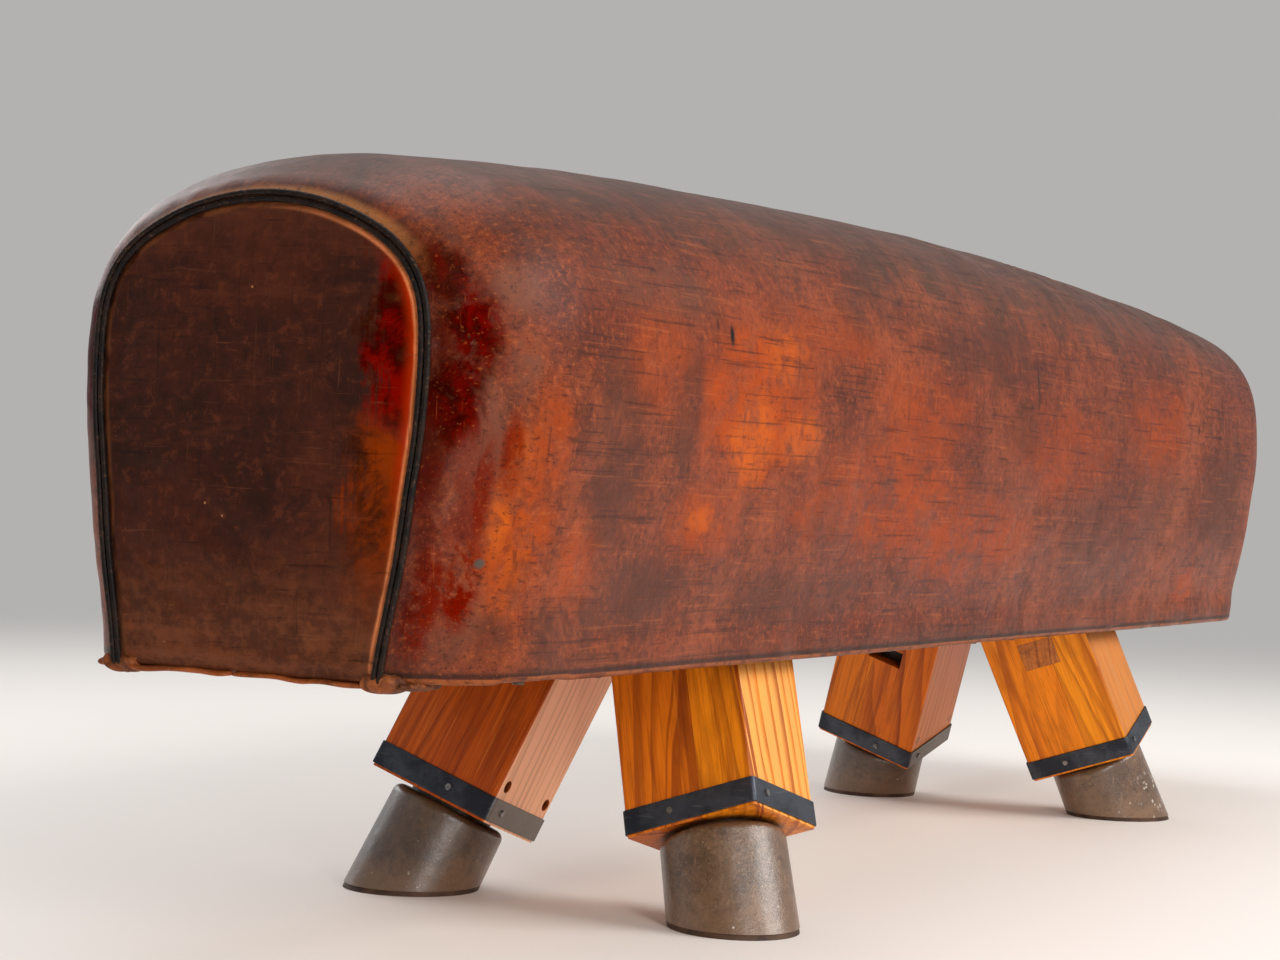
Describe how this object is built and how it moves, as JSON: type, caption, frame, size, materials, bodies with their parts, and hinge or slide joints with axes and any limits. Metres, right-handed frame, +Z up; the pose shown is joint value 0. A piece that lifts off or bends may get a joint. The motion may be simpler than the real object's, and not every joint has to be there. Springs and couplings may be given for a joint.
{
  "type": "gymnastic horse without pommels",
  "caption": "Leather-covered gymnastic vaulting horse body with arched, piped ends on short splayed square timber sockets with sliding round feet.",
  "frame": {"origin": "on the floor, centred between the four feet", "axes": "+X along the horse towards its right end, +Y across it towards its back, +Z up"},
  "size_m": [1.792, 0.3846, 0.5666],
  "materials": {
    "screw_steel": "bright steel screw head",
    "core_wood": "plain sawn softwood",
    "leather_end": "aged dark chocolate hide",
    "shoe_iron": "mottled grey-brown patina, semi-gloss",
    "sole_leather": "reddish-brown sole",
    "leather_hem": "raw turned-under leather",
    "tack_steel": "blued domed tack",
    "leather_brown": "aged, waxed hide with orange, red and dark brown mottling",
    "post_wood": "turned beech, waxed",
    "stuffing": "felt and horsehair stuffing",
    "leather_cord": "dark leather-covered cord",
    "plug_wood": "varnished wood plug",
    "band_steel": "dark blue-grey steel band",
    "varnished_pine": "amber varnished pine, strong grain"
  },
  "bodies": {
    "horse_body": {"band_screws": "screw_steel", "base_board": "core_wood", "bulkhead_centre": "core_wood", "bulkhead_end_left": "core_wood", "bulkhead_end_right": "core_wood", "bulkhead_leg_left": "core_wood", "bulkhead_leg_right": "core_wood", "crown_stave_1": "core_wood", "crown_stave_2": "core_wood", "crown_stave_3": "core_wood", "crown_stave_4": "core_wood", "crown_stave_5": "core_wood", "end_board_left": "core_wood", "end_board_right": "core_wood", "end_panel_left": "leather_end", "end_panel_right": "leather_end", "hem_strip_back": "leather_hem", "hem_strip_front": "leather_hem", "hem_strip_left": "leather_hem", "hem_strip_right": "leather_hem", "hem_tacks": "tack_steel", "lamination_screws": "screw_steel", "leather_cover": "leather_brown", "padding_end_left": "stuffing", "padding_end_right": "stuffing", "padding_saddle": "stuffing", "piping_inner_left": "leather_cord", "piping_inner_right": "leather_cord", "piping_outer_left": "leather_cord", "piping_outer_right": "leather_cord", "ridge_beam": "core_wood", "screw_plugs": "plug_wood", "side_board_back": "core_wood", "side_board_front": "core_wood", "socket_band_bl": "band_steel", "socket_band_br": "band_steel", "socket_band_fl": "band_steel", "socket_band_fr": "band_steel", "socket_inner_bl": "varnished_pine", "socket_inner_br": "varnished_pine", "socket_inner_fl": "varnished_pine", "socket_inner_fr": "varnished_pine", "socket_outer_bl": "varnished_pine", "socket_outer_br": "varnished_pine", "socket_outer_fl": "varnished_pine", "socket_outer_fr": "varnished_pine", "window_plugs": "plug_wood"},
    "leg_fl": {"foot_shoe_fl": "shoe_iron", "foot_sole_fl": "sole_leather", "leg_post_fl": "post_wood"},
    "leg_bl": {"foot_shoe_bl": "shoe_iron", "foot_sole_bl": "sole_leather", "leg_post_bl": "post_wood"},
    "leg_fr": {"foot_shoe_fr": "shoe_iron", "foot_sole_fr": "sole_leather", "leg_post_fr": "post_wood"},
    "leg_br": {"foot_shoe_br": "shoe_iron", "foot_sole_br": "sole_leather", "leg_post_br": "post_wood"}
  },
  "joints": [
    {"name": "leg_slide_fl", "type": "slide", "parent": "horse_body", "child": "leg_fl", "axis": [-0.2905, -0.3104, -0.9051], "range_m": [0, 0.1]},
    {"name": "leg_slide_bl", "type": "slide", "parent": "horse_body", "child": "leg_bl", "axis": [-0.2905, 0.3104, -0.9051], "range_m": [0, 0.1]},
    {"name": "leg_slide_fr", "type": "slide", "parent": "horse_body", "child": "leg_fr", "axis": [0.2905, -0.3104, -0.9051], "range_m": [0, 0.1]},
    {"name": "leg_slide_br", "type": "slide", "parent": "horse_body", "child": "leg_br", "axis": [0.2905, 0.3104, -0.9051], "range_m": [0, 0.1]}
  ]
}
